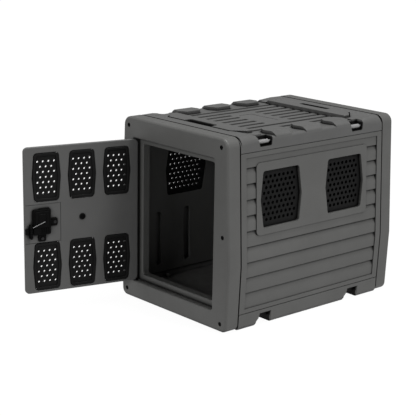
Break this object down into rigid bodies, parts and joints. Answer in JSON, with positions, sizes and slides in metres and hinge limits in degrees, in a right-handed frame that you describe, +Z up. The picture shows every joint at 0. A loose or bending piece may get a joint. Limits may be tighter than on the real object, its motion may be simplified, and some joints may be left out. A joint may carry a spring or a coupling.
{
  "type": "pet transport carrier",
  "caption": "Hard pet transport carrier with lap-sided walls, hexagonal perforated windows, end frames, a ribbed roof with hand-holds and tie-down bars, and a hinged latching door.",
  "frame": {"origin": "on the floor below the middle of the base: midway between the end frames' outer faces and the side walls", "axes": "+X to the right seen from the door end, +Y from the door end to the rear, +Z up"},
  "size_m": [0.5354, 1.0486, 0.575],
  "materials": {
    "shell": "fine moulded texture, satin",
    "roof": "fine moulded texture, satin",
    "door": "fine moulded texture, satin",
    "grille": "black, satin",
    "latch": "black, satin",
    "fastener": "blackened steel",
    "bar": "dull bright steel"
  },
  "bodies": {
    "shell": {"front_frame": "shell", "rear_frame": "shell", "rear_panel": "shell", "rear_grille_left": "grille", "rear_grille_right": "grille", "left_side_panel": "shell", "right_side_panel": "shell", "left_grille_front": "grille", "left_grille_rear": "grille", "right_grille_front": "grille", "right_grille_rear": "grille", "top_cover": "roof", "base_tray": "shell", "strike_plate": "fastener", "tie_bar_left_front": "bar", "tie_bar_left_rear": "bar", "tie_bar_right_front": "bar", "tie_bar_right_rear": "bar", "front_screw_1": "fastener", "front_screw_2": "fastener", "front_screw_3": "fastener", "front_screw_4": "fastener", "front_screw_5": "fastener", "front_screw_6": "fastener", "rear_screw_1": "fastener", "rear_screw_2": "fastener", "rear_screw_3": "fastener", "rear_screw_4": "fastener", "rear_screw_5": "fastener", "rear_screw_6": "fastener"},
    "door": {"door_panel": "door", "door_grille_lower_1": "grille", "door_grille_lower_2": "grille", "door_grille_lower_3": "grille", "door_grille_upper_1": "grille", "door_grille_upper_2": "grille", "door_grille_upper_3": "grille", "hinge_pin_lower": "bar", "hinge_pin_upper": "bar", "door_plug": "latch", "latch_housing": "latch", "latch_screw_1": "fastener", "latch_screw_2": "fastener"},
    "latch_bolt": {"latch_bolt": "latch", "latch_pull_rod": "bar"},
    "latch_handle": {"latch_handle": "latch"}
  },
  "joints": [
    {"name": "door_hinge", "type": "hinge", "parent": "shell", "child": "door", "pos_m": [-0.1825, -0.345, 0.284], "axis": [0, 0, 1], "range_deg": [-6, 104]},
    {"name": "handle_turn", "type": "hinge", "parent": "door", "child": "latch_handle", "pos_m": [-0.26417, -0.64361, 0.292], "axis": [0.9703, -0.2419, 0], "range_deg": [0, 90]},
    {"name": "bolt_slide", "type": "slide", "parent": "door", "child": "latch_bolt", "axis": [-0.2419, -0.9703, 0], "range_m": [0, 0.008]}
  ],
  "couplings": [
    {"joint": "handle_turn", "follows": "bolt_slide", "rad_per_m": 196.3}
  ]
}
